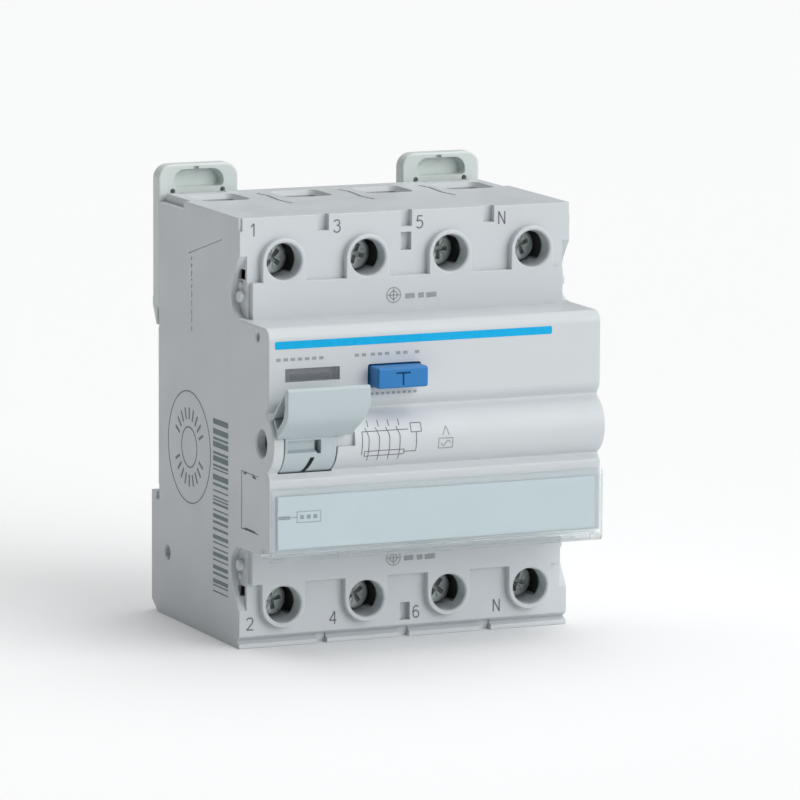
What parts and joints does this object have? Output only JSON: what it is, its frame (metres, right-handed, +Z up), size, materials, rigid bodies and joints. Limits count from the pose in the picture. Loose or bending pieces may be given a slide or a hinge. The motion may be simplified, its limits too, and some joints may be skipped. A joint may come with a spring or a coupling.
{
  "type": "residual current device",
  "caption": "Rail-mounted residual current circuit breaker with a toggle lever, test button, hinged label cover, screw terminals and sliding rail clips.",
  "frame": {"origin": "centre of the flat back face that seats on the 35 mm rail, on the rail's centre line", "axes": "+X to the right seen from the front, -Y out of the front, +Z up as mounted on a horizontal rail"},
  "size_m": [0.0712, 0.0702, 0.0911],
  "materials": {
    "housing": "fine-grained light grey moulded thermoplastic",
    "clip": "light grey-green moulded nylon",
    "lever": "bluish grey moulded plastic",
    "button": "blue moulded plastic",
    "window": "clear polycarbonate",
    "cover": "clear polycarbonate with a pale tint",
    "card": "printed card",
    "flag": "dark and pale banded plastic",
    "insulator": "dark moulded plastic",
    "board": "green circuit board laminate",
    "winding": "enamelled copper wire",
    "ferrite": "coated tape-wound core",
    "steel": "zinc plated steel",
    "copper": "bare copper",
    "silver": "silver plated copper"
  },
  "bodies": {
    "case": {"rear_housing": "housing", "front_cover": "housing", "side_insert": "housing", "case_screw_1": "steel", "case_screw_2": "steel", "case_screw_3": "steel", "case_screw_4": "steel", "line_terminal_1": "copper", "line_terminal_2": "copper", "line_terminal_3": "copper", "line_terminal_4": "copper", "load_conductor_1": "copper", "load_conductor_2": "copper", "load_conductor_3": "copper", "load_conductor_4": "copper", "mechanism_frame": "steel", "lever_pin": "steel", "lever_spring": "steel", "indicator_window": "window", "test_spring": "steel", "spring_seat": "insulator", "test_contact": "copper", "test_resistor": "insulator", "circuit_board": "board", "capacitor": "insulator", "toroid_core": "ferrite", "secondary_winding": "winding", "trip_relay": "insulator", "label_card": "card"},
    "lever": {"toggle_lever": "lever"},
    "link": {"link_rod": "steel"},
    "carrier": {"contact_carrier": "insulator", "moving_contact_1": "silver", "moving_contact_2": "silver", "moving_contact_3": "silver", "moving_contact_4": "silver"},
    "flag": {"indicator_flag": "flag"},
    "button": {"test_button": "button"},
    "card_cover": {"label_cover": "cover"},
    "clip_left": {"rail_clip_left": "clip"},
    "clip_right": {"rail_clip_right": "clip"},
    "trip": {"trip_bar": "insulator"},
    "plunger": {"relay_plunger": "steel"},
    "line_screw_1": {"line_screw_1": "steel"},
    "line_cage_1": {"line_cage_1": "steel"},
    "line_screw_2": {"line_screw_2": "steel"},
    "line_cage_2": {"line_cage_2": "steel"},
    "line_screw_3": {"line_screw_3": "steel"},
    "line_cage_3": {"line_cage_3": "steel"},
    "line_screw_4": {"line_screw_4": "steel"},
    "line_cage_4": {"line_cage_4": "steel"},
    "load_screw_1": {"load_screw_1": "steel"},
    "load_cage_1": {"load_cage_1": "steel"},
    "load_screw_2": {"load_screw_2": "steel"},
    "load_cage_2": {"load_cage_2": "steel"},
    "load_screw_3": {"load_screw_3": "steel"},
    "load_cage_3": {"load_cage_3": "steel"},
    "load_screw_4": {"load_screw_4": "steel"},
    "load_cage_4": {"load_cage_4": "steel"}
  },
  "joints": [
    {"name": "lever_turn", "type": "hinge", "parent": "case", "child": "lever", "pos_m": [-0.0276, -0.0542, 0.0004], "axis": [1, 0, 0], "range_deg": [0, 74]},
    {"name": "link_turn", "type": "hinge", "parent": "lever", "child": "link", "pos_m": [-0.0209, -0.0542, -0.0031], "axis": [1, 0, 0], "range_deg": [-78, 0]},
    {"name": "carrier_turn", "type": "hinge", "parent": "case", "child": "carrier", "pos_m": [0, -0.024, 0.005], "axis": [1, 0, 0], "range_deg": [0, 25]},
    {"name": "flag_turn", "type": "hinge", "parent": "case", "child": "flag", "pos_m": [-0.0263, -0.0448, 0.0131], "axis": [1, 0, 0], "range_deg": [0, 15]},
    {"name": "button_push", "type": "slide", "parent": "case", "child": "button", "axis": [0, 1, 0], "range_m": [0, 0.002], "stiffness_N_per_m": 250, "deforming": ["test_spring"]},
    {"name": "cover_turn", "type": "hinge", "parent": "case", "child": "card_cover", "pos_m": [0, -0.0553, -0.0217], "axis": [1, 0, 0], "range_deg": [0, 100]},
    {"name": "clip_left_slide", "type": "slide", "parent": "case", "child": "clip_left", "axis": [0, 0, 1], "range_m": [0, 0.005]},
    {"name": "clip_right_slide", "type": "slide", "parent": "case", "child": "clip_right", "axis": [0, 0, 1], "range_m": [0, 0.005]},
    {"name": "trip_slide", "type": "slide", "parent": "case", "child": "trip", "axis": [0, -1, 0], "range_m": [0, 0.0016]},
    {"name": "plunger_slide", "type": "slide", "parent": "case", "child": "plunger", "axis": [0, -1, 0], "range_m": [0, 0.0016], "stiffness_N_per_m": 80},
    {"name": "line_screw_1_turn", "type": "hinge", "parent": "case", "child": "line_screw_1", "pos_m": [-0.0267, -0.038, 0.03435], "axis": [0, 1, 0], "range_deg": [0, 2520]},
    {"name": "line_cage_1_slide", "type": "slide", "parent": "case", "child": "line_cage_1", "axis": [0, -1, 0], "range_m": [0, 0.0056]},
    {"name": "line_screw_2_turn", "type": "hinge", "parent": "case", "child": "line_screw_2", "pos_m": [-0.0089, -0.038, 0.03435], "axis": [0, 1, 0], "range_deg": [0, 2520]},
    {"name": "line_cage_2_slide", "type": "slide", "parent": "case", "child": "line_cage_2", "axis": [0, -1, 0], "range_m": [0, 0.0056]},
    {"name": "line_screw_3_turn", "type": "hinge", "parent": "case", "child": "line_screw_3", "pos_m": [0.0089, -0.038, 0.03435], "axis": [0, 1, 0], "range_deg": [0, 2520]},
    {"name": "line_cage_3_slide", "type": "slide", "parent": "case", "child": "line_cage_3", "axis": [0, -1, 0], "range_m": [0, 0.0056]},
    {"name": "line_screw_4_turn", "type": "hinge", "parent": "case", "child": "line_screw_4", "pos_m": [0.0267, -0.038, 0.03435], "axis": [0, 1, 0], "range_deg": [0, 2520]},
    {"name": "line_cage_4_slide", "type": "slide", "parent": "case", "child": "line_cage_4", "axis": [0, -1, 0], "range_m": [0, 0.0056]},
    {"name": "load_screw_1_turn", "type": "hinge", "parent": "case", "child": "load_screw_1", "pos_m": [-0.0267, -0.038, -0.0338], "axis": [0, 1, 0], "range_deg": [0, 2520]},
    {"name": "load_cage_1_slide", "type": "slide", "parent": "case", "child": "load_cage_1", "axis": [0, -1, 0], "range_m": [0, 0.0056]},
    {"name": "load_screw_2_turn", "type": "hinge", "parent": "case", "child": "load_screw_2", "pos_m": [-0.0089, -0.038, -0.0338], "axis": [0, 1, 0], "range_deg": [0, 2520]},
    {"name": "load_cage_2_slide", "type": "slide", "parent": "case", "child": "load_cage_2", "axis": [0, -1, 0], "range_m": [0, 0.0056]},
    {"name": "load_screw_3_turn", "type": "hinge", "parent": "case", "child": "load_screw_3", "pos_m": [0.0089, -0.038, -0.0338], "axis": [0, 1, 0], "range_deg": [0, 2520]},
    {"name": "load_cage_3_slide", "type": "slide", "parent": "case", "child": "load_cage_3", "axis": [0, -1, 0], "range_m": [0, 0.0056]},
    {"name": "load_screw_4_turn", "type": "hinge", "parent": "case", "child": "load_screw_4", "pos_m": [0.0267, -0.038, -0.0338], "axis": [0, 1, 0], "range_deg": [0, 2520]},
    {"name": "load_cage_4_slide", "type": "slide", "parent": "case", "child": "load_cage_4", "axis": [0, -1, 0], "range_m": [0, 0.0056]}
  ],
  "couplings": [
    {"joint": "link_turn", "follows": "lever_turn", "ratio": -1.046},
    {"joint": "carrier_turn", "follows": "lever_turn", "ratio": 0.3378},
    {"joint": "flag_turn", "follows": "lever_turn", "ratio": 0.2},
    {"joint": "trip_slide", "follows": "plunger_slide", "ratio": 1},
    {"joint": "line_screw_1_turn", "follows": "line_cage_1_slide", "rad_per_m": 7853.9},
    {"joint": "line_screw_2_turn", "follows": "line_cage_2_slide", "rad_per_m": 7853.9},
    {"joint": "line_screw_3_turn", "follows": "line_cage_3_slide", "rad_per_m": 7853.9},
    {"joint": "line_screw_4_turn", "follows": "line_cage_4_slide", "rad_per_m": 7853.9},
    {"joint": "load_screw_1_turn", "follows": "load_cage_1_slide", "rad_per_m": 7853.9},
    {"joint": "load_screw_2_turn", "follows": "load_cage_2_slide", "rad_per_m": 7853.9},
    {"joint": "load_screw_3_turn", "follows": "load_cage_3_slide", "rad_per_m": 7853.9},
    {"joint": "load_screw_4_turn", "follows": "load_cage_4_slide", "rad_per_m": 7853.9}
  ]
}
